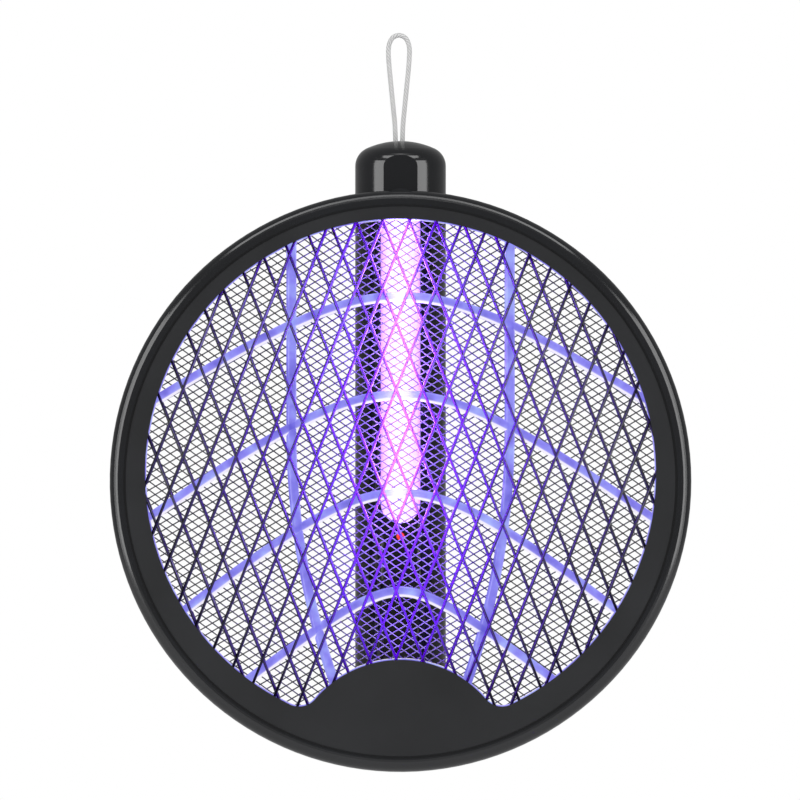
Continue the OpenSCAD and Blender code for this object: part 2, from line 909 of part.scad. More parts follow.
module slide_knob() {
  color(dark)
    difference() {
      union() {
        box(-knob_w / 2, knob_w / 2, wall_y - 0.6, half_t + 1.2, knob_z - knob_l / 2, knob_z + knob_l / 2);
        box(-knob_w / 2 - 2, knob_w / 2 + 2, wall_y - 1.4, wall_y - 0.1,
          knob_z - knob_l / 2 - slide_travel - 0.5, knob_z + knob_l / 2 + slide_travel + 0.5);
        box(-1.5, 1.5, board_back + 4.2, wall_y - 1, knob_z - 1.5, knob_z + 1.5);
      }
      for (k = [-1, 0, 1])
        box(-knob_w, knob_w, half_t + 0.7, grip_t, knob_z + k * 2 - 0.4, knob_z + k * 2 + 0.4);
    }
}

module port_flap() {
  color(dark) {
    translate([-6.2, half_t - 0.5, flap_top])
      rotate([0, 90, 0])
        cylinder(h = 12.4, r = 0.5);
    box(-6.2, 6.2, half_t - 1, half_t, port_z - 3.7, flap_top);
  }
}

head_front_frame();
head_rear_frame();
front_guard_mesh();
front_spacer();
live_mesh();
rear_spacer();
rear_guard_mesh();
frame_screws();
live_contact();
guard_contact();
hinge_pins();
hinge_washers();
front_shell();
rear_shell();
end_cap();
lamp_lens();
lamp_reflector();
lamp_board();
lamp_leds();
indicator_pipe();
indicator_led();
main_board();
transformer();
live_capacitor();
control_chips();
battery_cell();
battery_tabs();
battery_leads();
hinge_leads();
trigger_switch();
slide_switch();
charge_socket();
board_screws();
shell_screws();
lanyard_anchor();
lanyard_cord();
trigger_button();
slide_knob();
port_flap();
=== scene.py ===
# %% [markdown]
# # A folding electric fly swatter, in looks
# The swatter is a round head of three meshes on a hinge, folded up in front of its grip.
# The moulded parts, screws and boards come from the CAD model, because their shapes are exact
# there, and they only get their finishes here. The wire meshes, the clear ribs and the hanging
# cord are made new, since a drawn wire is round and a braid has a lay, and the CAD solids leave
# that out.

import math

import bpy
import numpy as np
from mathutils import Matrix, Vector


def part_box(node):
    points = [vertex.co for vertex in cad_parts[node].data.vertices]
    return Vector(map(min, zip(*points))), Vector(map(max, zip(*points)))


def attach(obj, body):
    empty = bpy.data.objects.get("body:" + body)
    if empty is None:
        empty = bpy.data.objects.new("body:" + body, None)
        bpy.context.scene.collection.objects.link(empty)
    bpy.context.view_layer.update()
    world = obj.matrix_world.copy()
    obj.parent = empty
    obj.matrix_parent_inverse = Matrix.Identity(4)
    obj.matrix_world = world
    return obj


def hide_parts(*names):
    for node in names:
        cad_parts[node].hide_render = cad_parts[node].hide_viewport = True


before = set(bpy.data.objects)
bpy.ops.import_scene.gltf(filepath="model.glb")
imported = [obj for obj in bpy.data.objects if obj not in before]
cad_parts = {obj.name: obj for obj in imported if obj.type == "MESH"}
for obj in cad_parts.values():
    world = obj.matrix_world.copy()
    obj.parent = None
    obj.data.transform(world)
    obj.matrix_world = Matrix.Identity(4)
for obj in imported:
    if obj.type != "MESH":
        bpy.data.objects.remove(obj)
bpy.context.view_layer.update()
MM = 0.001
head_low, head_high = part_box("head_rear_frame")
HEAD_R = (head_high.x - head_low.x) / 2 / MM
HEAD_Z = head_low.z / MM + HEAD_R
print("head radius", round(HEAD_R, 2), "mm, centre at z", round(HEAD_Z, 2), "mm")

# %% [markdown]
# ## The camera
# The swatter is shown straight from the front and hanging upright. A long lens far away keeps the
# round head round and hides the depth of the grip behind it. An orthographic camera could do the
# same, but it can't step back when the head is opened and the object becomes twice as long.

# %% Camera straight in front
VIEW_WIDTH = 0.3023
CAMERA_FAR = 6.0
camera_data = bpy.data.cameras.new("camera")
camera_data.sensor_width = 36
camera_data.lens = camera_data.sensor_width * CAMERA_FAR / VIEW_WIDTH
camera_data.clip_start, camera_data.clip_end = 0.1, 40
camera = bpy.data.objects.new("camera", camera_data)
camera.location = (-0.0002, -0.039 - CAMERA_FAR, -0.1375)
camera.rotation_euler = (math.pi / 2, 0, 0)
bpy.context.scene.collection.objects.link(camera)
bpy.context.scene.camera = camera
print("lens", round(camera_data.lens), "mm")

# %% [markdown]
# ## Surfaces from numbers
# Every new piece is a grid of points worked out in one go: rows run along the piece and columns
# run round it. One helper turns such grids into a mesh with quads, closed ends and a UV map whose
# u is the distance along the piece in metres and whose v goes once round it.


# %% Mesh from grids
def grid_piece(name, grids, along=None, closed_path=False):
    """One mesh from grids of points. Each grid has the shape rows x columns x 3, in millimetres.
    The columns close on themselves. The rows close too if closed_path is true, and otherwise
    both ends get a flat face. Row i, column j has uv = (distance along, j / columns)."""
    grids = np.asarray(grids, float)
    count, rows, cols, _ = grids.shape
    points = grids.reshape(-1, 3) * MM
    i = np.arange(rows if closed_path else rows - 1)[:, None]
    j = np.arange(cols)[None, :]
    i2, j2 = (i + 1) % rows, (j + 1) % cols
    quads = np.stack([i * cols + j, i * cols + j2, i2 * cols + j2, i2 * cols + j], -1)
    quads = quads.reshape(-1, 4)
    starts = np.arange(count)[:, None, None] * rows * cols
    corners = (quads[None] + starts).reshape(-1)
    sizes = np.full(len(corners) // 4, 4)
    if along is None:
        along = np.zeros((count, rows))
    u = np.broadcast_to(np.asarray(along, float), (count, rows)) * MM
    quad_i = np.broadcast_to(np.stack([i, i, i + 1, i + 1], -1), (len(i), cols, 4))
    quad_j = np.broadcast_to(np.stack([j, j + 1, j + 1, j], -1), (len(i), cols, 4))
    step = np.diff(u, axis=1, append=u[:, -1:] + (u[:, -1:] - u[:, -2:-1]) if closed_path else u[:, -1:])
    far = u + step
    near_u, far_u = u[:, i[:, 0], None, None], far[:, i[:, 0], None, None]
    u_all = np.where(quad_i[None] > i[None, :, :, None], far_u, near_u)
    uv = np.stack([u_all.reshape(-1), np.broadcast_to(quad_j[None] / cols, u_all.shape).reshape(-1)], -1)
    if not closed_path:
        ring = np.arange(cols)
        caps = np.stack([ring[::-1], (rows - 1) * cols + ring])
        caps = (caps[None] + starts).reshape(-1)
        corners = np.concatenate([corners, caps])
        sizes = np.concatenate([sizes, np.full(2 * count, cols)])
        uv = np.concatenate([uv, np.zeros((len(caps), 2))])
    mesh = bpy.data.meshes.new(name)
    mesh.vertices.add(len(points))
    mesh.vertices.foreach_set("co", points.astype(np.float32).reshape(-1))
    mesh.loops.add(len(corners))
    mesh.loops.foreach_set("vertex_index", corners.astype(np.int32))
    mesh.polygons.add(len(sizes))
    loop_starts = np.concatenate([[0], np.cumsum(sizes)[:-1]])
    mesh.polygons.foreach_set("loop_start", loop_starts.astype(np.int32))
    mesh.polygons.foreach_set("use_smooth", sizes == 4)
    layer = mesh.uv_layers.new(name="along_and_round")
    mesh.update(calc_edges=True)
    layer.data.foreach_set("uv", uv.astype(np.float32).reshape(-1))
    mesh.validate()
    piece = bpy.data.objects.new(name, mesh)
    bpy.context.scene.collection.objects.link(piece)
    print(name, len(mesh.polygons), "faces")
    return piece


# %% Round section carried along flat paths
def tubes(paths, radius, sides, turn=0.0):
    """Round tubes along paths that lie in planes facing the viewer. paths has the shape
    count x rows x 3, in millimetres. At each point the circle spans the depth direction and the
    direction across the path: point + radius * (cos t * depth + sin t * across)."""
    paths = np.asarray(paths, float)
    along = np.gradient(paths, axis=1)
    along /= np.linalg.norm(along, axis=2, keepdims=True)
    depth = np.array([0.0, 1.0, 0.0])
    across = np.cross(along, depth)
    t = np.linspace(0, 2 * np.pi, sides, endpoint=False) + turn
    radius = np.broadcast_to(radius, (paths.shape[1], sides))[None, :, :, None]
    ring = np.cos(t)[:, None] * depth + 0 * across[:, :, None, :]
    ring = ring + np.sin(t)[:, None] * across[:, :, None, :]
    return paths[:, :, None, :] + radius * ring


def length_along(paths):
    """Distance from the start of each path to each of its points."""
    steps = np.linalg.norm(np.diff(paths, axis=1), axis=2)
    return np.concatenate([np.zeros((len(paths), 1)), np.cumsum(steps, axis=1)], axis=1)


# %% [markdown]
# ## Materials
# Each finish starts from what the real part is made of. A small helper adds one shader node with
# its settings and links, and another turns the usual hex colours into the linear ones that the
# shader needs.

# %% Node helper and colours
LIBRARY = {}


def linear(hex_colour):
    """sRGB hex to linear: c / 12.92 below 0.04045, else ((c + 0.055) / 1.055) ** 2.4."""
    c = np.array([int(hex_colour[k:k + 2], 16) / 255 for k in (1, 3, 5)])
    c = np.where(c <= 0.04045, c / 12.92, ((c + 0.055) / 1.055) ** 2.4)
    return (*c, 1.0)


def add(tree, kind, settings=None, links=None):
    """Adds one node. settings are its properties, or its inputs where the name is an input, and
    "stops" are a colour ramp's (position, hex colour) pairs. links take each named input to
    another node's output."""
    node = tree.nodes.new("ShaderNode" + kind)
    for key, value in (settings or {}).items():
        if key == "stops":
            band = node.color_ramp
            while len(band.elements) < len(value):
                band.elements.new(0.5)
            for element, (place, colour) in zip(band.elements, value):
                element.position, element.color = place, linear(colour)
        elif isinstance(key, int) or key in node.inputs:
            node.inputs[key].default_value = value
        else:
            setattr(node, key, value)
    for key, source in (links or {}).items():
        tree.links.new(source, node.inputs[key])
    return node


def finish_for(name, **settings):
    """A new material with one Principled shader, whose sockets are set by name."""
    material = bpy.data.materials.new(name)
    material.use_nodes = True
    tree = material.node_tree
    shader = tree.nodes["Principled BSDF"]
    for key, value in settings.items():
        shader.inputs[key.replace("_", " ")].default_value = value
    return material, tree, shader


def moulded(material_name, dark, light, roughness, spark=0.35, relief=0.012, grain=1.2):
    """Injection moulded plastic: a faint spark-eroded texture whose grains are about grain
    millimetres apart, and a slow change of gloss where the melt cooled unevenly."""
    material, tree, shader = finish_for(material_name, Roughness=roughness, IOR=1.5)
    place = add(tree, "TexCoord").outputs["Object"]
    slow = add(tree, "TexNoise", {"Scale": 30.0, "Detail": 2.0}, {"Vector": place})
    fine = add(tree, "TexNoise", {"Scale": 1000 / grain, "Detail": 1.0}, {"Vector": place})
    tint = add(tree, "ValToRGB", {"stops": [(0.3, dark), (0.7, light)]}, {0: slow.outputs["Fac"]})
    tree.links.new(tint.outputs["Color"], shader.inputs["Base Color"])
    gloss = add(tree, "MapRange", {"To Min": roughness * 0.85, "To Max": roughness * 1.2},
                {"Value": slow.outputs["Fac"]})
    tree.links.new(gloss.outputs["Result"], shader.inputs["Roughness"])
    bump = add(tree, "Bump", {"Strength": spark, "Distance": relief * MM}, {"Height": fine.outputs["Fac"]})
    tree.links.new(bump.outputs["Normal"], shader.inputs["Normal"])
    LIBRARY[material_name] = material
    return material, tree, shader, place, gloss


# %% [markdown]
# ## The hanging cord
# The cord is a thin braided nylon loop, fixed from end to end: both ends go into the dome of the
# grip. It is a round tube along one smooth curve through the route's points. Strands are drawn as
# relief on the tube's own UV map, so they follow the cord, and the grooves between them get a
# painted shade.

# %% Cord route and tube
CORD_D = 1.8
ROUTE = np.array([
    (-1.9, -44), (-1.9, -40), (-2.0, -36), (-2.2, -32), (-2.6, -28), (-3.0, -24),
    (-3.4, -20), (-3.8, -16), (-4.2, -12), (-4.5, -8), (-4.6, -4.4), (-4.1, -1.6),
    (-2.8, 0.4), (-0.6, 1.2), (1.6, 0.4), (2.9, -1.6), (3.4, -4.4), (3.3, -8),
    (3.0, -12), (2.6, -16), (2.2, -20), (1.8, -24), (1.4, -28), (1.0, -32),
    (0.8, -36), (0.7, -40), (0.7, -44)])


def smooth_curve(points, per_span):
    """Catmull-Rom curve: between points b and c, with neighbours a and d, the place at t is
    (2b + (c - a)t + (2a - 5b + 4c - d)t^2 + (3b - a - 3c + d)t^3) / 2."""
    p = np.vstack([2 * points[0] - points[1], points, 2 * points[-1] - points[-2]])
    a, b, c, d = p[:-3, None], p[1:-2, None], p[2:-1, None], p[3:, None]
    t = np.linspace(0, 1, per_span, endpoint=False)[None, :, None]
    curve = (2 * b + (c - a) * t + (2 * a - 5 * b + 4 * c - d) * t**2
             + (3 * b - a - 3 * c + d) * t**3) / 2
    return np.vstack([curve.reshape(-1, points.shape[1]), points[-1:]])


cord_line = smooth_curve(ROUTE, 10)
cord_path = np.stack([cord_line[:, 0], np.zeros(len(cord_line)), cord_line[:, 1]], -1)
cord_along = length_along(cord_path[None])
SIDES = 16
LAY = 2.2
turns = cord_along[0][:, None] / LAY
strand = np.linspace(0, 2 * np.pi, SIDES, endpoint=False)[None, :]
relief = 0.035 * np.cos(3 * (strand + turns * 2 * np.pi))
cord = grid_piece("lanyard_braid", tubes(cord_path[None], CORD_D / 2 + relief, SIDES), cord_along)
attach(cord, "grip")
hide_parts("lanyard_cord")

# %% Cord finish: twisted nylon
material, tree, shader = finish_for("cord_grey", Roughness=0.55)
uv = add(tree, "UVMap", {"uv_map": "along_and_round"})
lay = add(tree, "Mapping", {"Scale": (1 / (LAY * MM), 3.0, 1.0)}, {"Vector": uv.outputs["UV"]})
strands_and_groove_shade = add(tree, "TexWave", {"Scale": 1.0, "bands_direction": "DIAGONAL", "Distortion": 0.4},
                    {"Vector": lay.outputs["Vector"]})
# painted shade: the tone follows the strands' wave, darker in the grooves between strands where the relief
# is low
tint = add(tree, "ValToRGB", {"stops": [(0.0, "#9c9c9c"), (1.0, "#c6c6c6")]},
           {0: strands_and_groove_shade.outputs["Fac"]})
tree.links.new(tint.outputs["Color"], shader.inputs["Base Color"])
weave = add(tree, "Bump", {"Strength": 0.4, "Distance": 0.1 * MM}, {"Height": strands_and_groove_shade.outputs["Fac"]})
tree.links.new(weave.outputs["Normal"], shader.inputs["Normal"])
LIBRARY["cord_grey"] = material
cord.data.materials.append(material)

# %% [markdown]
# ## The opening's outline
# The three meshes and the ribs all end on the edge of the same opening: a circle with a rounded
# foot standing into it. The outline can be grown or shrunk by a distance, so one function serves
# for the wires' ends, the ribs' rings and the mesh borders.

# %% Outline function
OPEN_R, OPEN_Z, FOOT_R, BLEND = 96.6, 2.7, 42.5, 8.0
FOOT_Z = -HEAD_R


def arc(cx, cz, r, a0, a1, n):
    """n + 1 points on a circle: centre + r * (cos a, sin a), a from a0 to a1 in radians."""
    a = np.linspace(a0, a1, n + 1)
    return np.stack([cx + r * np.cos(a), cz + r * np.sin(a)], -1)


def outline(grow, fine=1):
    """Points round the opening, grown by grow millimetres. The blend circle touches the big
    circle from inside and the foot circle from outside; two triangles give its centre."""
    far, near, apart = OPEN_R - BLEND, FOOT_R + BLEND, OPEN_Z - FOOT_Z
    up = (near**2 - far**2 + apart**2) / (2 * apart)
    bx, bz = math.sqrt(near**2 - up**2), FOOT_Z + up
    t_far, t_near = math.atan2(OPEN_Z - bz, bx), math.atan2(up, bx)
    pi = math.pi
    return np.vstack([
        arc(0, OPEN_Z, OPEN_R + grow, -t_far, pi + t_far, 120 * fine),
        arc(-bx, bz, BLEND + grow, pi + t_far, 2 * pi - t_near, 12 * fine)[1:],
        arc(0, FOOT_Z, FOOT_R - grow, pi - t_near, t_near, 36 * fine)[1:],
        arc(bx, bz, BLEND + grow, pi + t_near, 2 * pi - t_far, 12 * fine)[1:-1],
    ])


def at_depth(points, y):
    """Flat head points (x, z from the head's centre) placed at depth y."""
    points = np.asarray(points, float)
    y = np.broadcast_to(y, points.shape[:-1])
    return np.stack([points[..., 0], y, points[..., 1] + HEAD_Z], -1)


def border(grow_in, grow_out, y_front, y_back):
    """A flat ring along the outline: four corners carried round it."""
    inner, outer = outline(grow_in), outline(grow_out)
    return np.stack([at_depth(inner, y_front), at_depth(inner, y_back),
                     at_depth(outer, y_back), at_depth(outer, y_front)], 1)


# %% [markdown]
# ## Straight wires cut to the opening
# A wire mesh is two families of parallel wires. Each wire is a line at a known distance from the
# head's centre. Where that distance changes sign along the outline the wire enters or leaves, and
# the wire is made only between such crossings.

# %% Wires of one family
def cut_wires(normal_turn, pitch, share, grow, depth):
    """Wires whose normal is turned by normal_turn degrees from the x axis, at distances
    (k + share) * pitch. Returns the two ends of every length inside the opening."""
    turn = math.radians(normal_turn)
    normal, along = np.array([math.cos(turn), math.sin(turn)]), np.array([-math.sin(turn), math.cos(turn)])
    edge = outline(grow, 3)
    following = np.roll(edge, -1, axis=0)
    n = int(HEAD_R / pitch) + 2
    ends = []
    for k in range(-n, n + 1):
        a, b = edge @ normal - (k + share) * pitch, following @ normal - (k + share) * pitch
        hit = a * b < 0
        share_along = a[hit] / (a[hit] - b[hit])
        crossing = edge[hit] + (following[hit] - edge[hit]) * share_along[:, None]
        crossing = crossing[np.argsort(crossing @ along)]
        pairs = crossing[: len(crossing) // 2 * 2].reshape(-1, 2, 2)
        ends.append(pairs[np.linalg.norm(pairs[:, 1] - pairs[:, 0], axis=1) > 2])
    return at_depth(np.concatenate(ends), depth)


def join(name, *pieces):
    """One piece from several."""
    with bpy.context.temp_override(active_object=pieces[0], selected_editable_objects=list(pieces)):
        bpy.ops.object.join()
    pieces[0].name = pieces[0].data.name = name
    return pieces[0]


def tab_plate(side, y_front, y_back):
    """The contact tab of a mesh: a small plate that runs down into the foot."""
    x = side * 14.0
    top, low = -71.4, -78.4
    loop = np.array([(x - 2.5, top), (x + 2.5, top), (x + 2.5, low), (x - 2.5, low)])
    return np.stack([at_depth(loop, y_back), at_depth(loop, y_front)], 0)


# %% [markdown]
# ## The guard meshes
# Two coarse meshes of black enamelled steel wire keep fingers off the live one. The wires lean
# 21.6 degrees to either side of upright, which makes tall diamonds. The crossings are welded, so
# both families lie nearly in one plane.

# %% Guard meshes
GUARD_LEAN, GUARD_PITCH, GUARD_WIRE = 21.6, 9.37, 1.1


def guard(name, node):
    low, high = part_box(node)
    middle = (low.y + high.y) / 2 / MM
    sets = []
    for turn, share, depth in ((-GUARD_LEAN, 0.47, -0.12), (GUARD_LEAN, 0.2, 0.12)):
        ends = cut_wires(turn, GUARD_PITCH, share, 2.4, middle + depth)
        sets.append(grid_piece(name + "_wires", tubes(ends, GUARD_WIRE / 2, 12), length_along(ends)))
    edge = border(0.8, 3.2, low.y / MM, high.y / MM)
    sets.append(grid_piece(name + "_border", edge[None], closed_path=True))
    sets.append(grid_piece(name + "_tab", tab_plate(-1, low.y / MM, high.y / MM)[None]))
    piece = join(name, *sets)
    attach(piece, "head")
    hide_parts(node)
    return piece


guards = [guard("front_guard_wires", "front_guard_mesh"), guard("rear_guard_wires", "rear_guard_mesh")]

# %% [markdown]
# ## The live mesh
# The inner mesh carries the voltage. It is fine bright steel wire, 2.65 mm apart and a little
# turned, welded with one family in front of the other. Some 150 straight wires are light enough to
# be real geometry, which keeps the crossings true from every side.

# %% Live mesh
LIVE_PITCH, LIVE_WIRE = 2.65, 0.46
low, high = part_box("live_mesh")
live_middle = (low.y + high.y) / 2 / MM
sets = []
for turn, depth in ((90 + 29.8, 0.16), (90 - 36.2, -0.16)):
    ends = cut_wires(turn, LIVE_PITCH, 0.75, 2.4, live_middle + depth)
    sets.append(grid_piece("live_wires", tubes(ends, LIVE_WIRE / 2, 8), length_along(ends)))
sets.append(grid_piece("live_border", border(0.8, 3.2, low.y / MM, high.y / MM)[None], closed_path=True))
sets.append(grid_piece("live_tab", tab_plate(1, low.y / MM, high.y / MM)[None]))
live = join("live_wires", *sets)
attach(live, "head")
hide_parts("live_mesh")

# %% [markdown]
# ## The ribs between the meshes
# Clear plastic ribs keep the meshes 7.5 mm apart. They carry the lamp's light like a light guide,
# so they glow lavender, and the slanted lower edge glows nearly white; both glows are painted light
# in the ribs' finish. Each rib is one section carried along its curve: a bar with rounded front
# corners and a wide slope on its lower side.

# %% Ribs
RIB_W = 3.8
ARCHES = [(0.685, 46), (0.78, 45.5), (0.855, 38), (0.78, 17)]
OPEN_TOP = OPEN_Z + OPEN_R


def arch_line(k, n=90):
    """Crown height minus steep * (sqrt(x^2 + round^2) - round)."""
    steep, rounding = ARCHES[k]
    x = np.linspace(-99.6, 99.6, n)
    z = OPEN_TOP - 29.5 - k * 37.2 - steep * (np.sqrt(x**2 + rounding**2) - rounding)
    inside = x**2 + (z - OPEN_Z) ** 2 < (OPEN_R + 2.6) ** 2
    return np.stack([x, z], -1)[inside]


def upright_line(side, n=60):
    """Straight above z = 19, and below that an arc of radius 287 that leans inwards."""
    z = np.linspace(OPEN_TOP, -96, n)
    x = np.where(z > 19, 41.3, 41.3 - 287 + np.sqrt(287**2 - np.minimum(z - 19, 0) ** 2))
    line = np.stack([side * x, z], -1)
    ring = x**2 + (z - OPEN_Z) ** 2 < (OPEN_R + 2.6) ** 2
    foot = x**2 + (z - FOOT_Z) ** 2 > (FOOT_R - 2.6) ** 2
    return line[ring & foot]


def rib(name, line, y_front, y_back, slope_side=-1):
    """Section (across, depth) carried along the line: point + across * sideways, at that depth.
    v runs round the section, starting at the sloped edge."""
    h = RIB_W / 2
    front = -1 if y_front < y_back else 1
    section = np.array([(-h, 1.1), (-h + 0.5, 0.45), (-h + 1.0, 0.0), (h - 0.45, 0.0), (h - 0.12, 0.14),
                        (h, 0.5), (h, abs(y_back - y_front)), (-h, abs(y_back - y_front))])
    along = np.gradient(line, axis=0)
    along /= np.linalg.norm(along, axis=1, keepdims=True)
    sideways = np.stack([-along[:, 1], along[:, 0]], -1)
    if slope_side > 0:
        section = section * (-1, 1)
        section = section[::-1]
    flat = line[:, None, :] + section[None, :, :1] * sideways[:, None, :]
    y = y_front - front * section[:, 1]
    grid = at_depth(flat, y[None, :])
    return grid_piece(name, grid[None], length_along(at_depth(line, 0)[None]))


def ribs(name, node, y_front, y_back):
    pieces = [rib(name + "_arch", arch_line(k), y_front, y_back) for k in range(4)]
    pieces += [rib(name + "_upright", upright_line(s)[::-1], y_front, y_back, 1) for s in (-1, 1)]
    edge = border(-0.4, 3.2, min(y_front, y_back), max(y_front, y_back))
    pieces.append(grid_piece(name + "_ring", edge[None], closed_path=True))
    piece = join(name, *pieces)
    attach(piece, "head")
    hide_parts(node)
    return piece


low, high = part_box("front_spacer")
front_ribs = ribs("front_ribs", "front_spacer", low.y / MM, high.y / MM)
low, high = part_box("rear_spacer")
rear_ribs = ribs("rear_ribs", "rear_spacer", high.y / MM, low.y / MM)

# %% [markdown]
# ## Finishes of the head
# The frame is black ABS. Its flat face has a fine spark-eroded texture that scatters light, while
# the rolled edge outside it is polished. Both are one moulding, so one material changes its gloss
# with the distance from the head's centre.

# %% Frame: black ABS, textured face and polished edge
material, tree, shader, place, gloss = moulded("frame_black", "#101113", "#141518", 0.42, spark=0.3)
from_centre = add(tree, "VectorMath", {"operation": "SUBTRACT", 1: (0, 0, HEAD_Z * MM)}, {0: place})
flat = add(tree, "VectorMath", {"operation": "MULTIPLY", 1: (1, 0, 1)}, {0: from_centre.outputs[0]})
distance = add(tree, "VectorMath", {"operation": "LENGTH"}, {0: flat.outputs[0]})
edge = add(tree, "MapRange", {"From Min": 0.1036, "From Max": 0.1044}, {"Value": distance.outputs["Value"]})
mixed = add(tree, "Mix", {"data_type": "FLOAT", "B": 0.13},
            {"Factor": edge.outputs["Result"], "A": gloss.outputs["Result"]})
tree.links.new(mixed.outputs["Result"], shader.inputs["Roughness"])
bump = [n for n in tree.nodes if n.type == "BUMP"][0]
depth = add(tree, "MapRange", {"To Min": 0.3, "To Max": 0.03}, {"Value": edge.outputs["Result"]})
tree.links.new(depth.outputs["Result"], bump.inputs["Strength"])

# %% Wires: black enamel on steel, and galvanised steel
material, tree, shader = finish_for("guard_black", Roughness=0.22, IOR=1.5, Specular_IOR_Level=0.4)
place = add(tree, "TexCoord").outputs["Object"]
runs = add(tree, "TexNoise", {"Scale": 400.0, "Detail": 2.0}, {"Vector": place})
tint = add(tree, "ValToRGB", {"stops": [(0.3, "#0a0a0b"), (0.7, "#0d0d0f")]}, {0: runs.outputs["Fac"]})
tree.links.new(tint.outputs["Color"], shader.inputs["Base Color"])
bump = add(tree, "Bump", {"Strength": 0.15, "Distance": 0.05 * MM}, {"Height": runs.outputs["Fac"]})
tree.links.new(bump.outputs["Normal"], shader.inputs["Normal"])
LIBRARY["guard_black"] = material

material, tree, shader = finish_for("live_metal", Roughness=0.3, Specular_IOR_Level=0.4)
place = add(tree, "TexCoord").outputs["Object"]
spangle = add(tree, "TexNoise", {"Scale": 700.0, "Detail": 2.0}, {"Vector": place})
tint = add(tree, "ValToRGB", {"stops": [(0.3, "#242426"), (0.7, "#2e2e31")]}, {0: spangle.outputs["Fac"]})
tree.links.new(tint.outputs["Color"], shader.inputs["Base Color"])
wear = add(tree, "MapRange", {"To Min": 0.2, "To Max": 0.36}, {"Value": spangle.outputs["Fac"]})
tree.links.new(wear.outputs["Result"], shader.inputs["Roughness"])
LIBRARY["live_metal"] = material

# %% [markdown]
# ## Ribs: clear polycarbonate with a painted glow
# Real clear plastic would need many light bounces to glow along its length. Here the glow is painted
# light in the finish: a lavender emission that is weaker in cloudy patches, and a painted near-white
# light on the sloped edge, where light leaves a guide.

# %% Rib finish
material, tree, shader = finish_for("spacer_clear", Roughness=0.25, IOR=1.58)
place = add(tree, "TexCoord").outputs["Object"]
uv = add(tree, "UVMap", {"uv_map": "along_and_round"})
round_it = add(tree, "SeparateXYZ", links={0: uv.outputs["UV"]})
# painted glow: a lavender emission stands in for the lamp's light carried through the ribs, weaker in cloudy
# patches
cloud = add(tree, "TexNoise", {"Scale": 110.0, "Detail": 3.0}, {"Vector": place})
painted_glow_ramp = add(tree, "ValToRGB", {"stops": [
    (0.3, "#6a63d4"), (0.5, "#8781ee"), (0.72, "#a4b2fb")
]}, {0: cloud.outputs["Fac"]})
body = painted_glow_ramp.outputs["Color"]
# painted light: the sloped edge of each rib (v below 0.2, blending out by 0.27) is near-white emission
painted_edge_light_mask = add(tree, "MapRange", {"From Min": 0.2, "From Max": 0.27}, {"Value": round_it.outputs["Y"]})
lit = add(tree, "Mix", {"data_type": "RGBA", "A": linear("#fbf6ff")}, {"Factor": painted_edge_light_mask.outputs["Result"]})
tree.links.new(body, lit.inputs[7])
tree.links.new(lit.outputs[2], shader.inputs["Emission Color"])
shader.inputs["Base Color"].default_value = linear("#2c2a52")
shader.inputs["Emission Strength"].default_value = 0.9
LIBRARY["spacer_clear"] = material

# %% [markdown]
# ## Finishes of the grip
# The grip's shells are polished black ABS, the end cap and the controls are the same plastic with
# a finer texture, and the flap is rubber.

# %% Black plastics and rubber
moulded("grip_black", "#0f1012", "#121316", 0.14, spark=0.08, grain=2.0)
moulded("cap_black", "#111214", "#151619", 0.3)
moulded("control_black", "#17181a", "#1c1d20", 0.38)
moulded("flap_rubber", "#0c0c0d", "#121213", 0.7, spark=0.5)

# %% [markdown]
# ## The lamp
# Behind its frosted cover the lamp is brightest along the middle, so the cover's light falls from
# nearly white in the middle to pink and violet at its edge.

# %% Lamp cover, emitters and indicator
material, tree, shader = finish_for("lamp_glow", Roughness=0.5, IOR=1.58)
place = add(tree, "TexCoord").outputs["Object"]
parts = add(tree, "SeparateXYZ", links={0: place})
off_middle = add(tree, "Math", {"operation": "ABSOLUTE"}, {0: parts.outputs["X"]})
share = add(tree, "MapRange", {"From Max": 0.0075}, {"Value": off_middle.outputs[0]})
glow_ramp = add(tree, "ValToRGB", {"stops": [
    (0.0, "#fff0ff"), (0.6, "#fbdcff"), (0.85, "#eebcf8"), (1.0, "#c890f0")
]}, {0: share.outputs["Result"]})
glow = glow_ramp.outputs["Color"]
tree.links.new(glow, shader.inputs["Base Color"])
tree.links.new(glow, shader.inputs["Emission Color"])
shader.inputs["Emission Strength"].default_value = 0.92
LIBRARY["lamp_glow"] = material

material, tree, shader = finish_for("indicator_red", Roughness=0.2, IOR=1.49)
place = add(tree, "TexCoord").outputs["Object"]
cloud = add(tree, "TexNoise", {"Scale": 900.0}, {"Vector": place})
red_ramp = add(tree, "ValToRGB", {"stops": [
    (0.3, "#c81810"), (0.7, "#ff4436")
]}, {0: cloud.outputs["Fac"]})
red = red_ramp.outputs["Color"]
tree.links.new(red, shader.inputs["Base Color"])
tree.links.new(red, shader.inputs["Emission Color"])
shader.inputs["Emission Strength"].default_value = 1.0
LIBRARY["indicator_red"] = material

# %% [markdown]
# ## Finishes inside
# The parts inside the grip and the frame are hidden in use, but a shelf part may be opened, so
# each has its own finish: metals with drawn or cast grain, moulded and coated surfaces, and the
# solder mask of the boards.


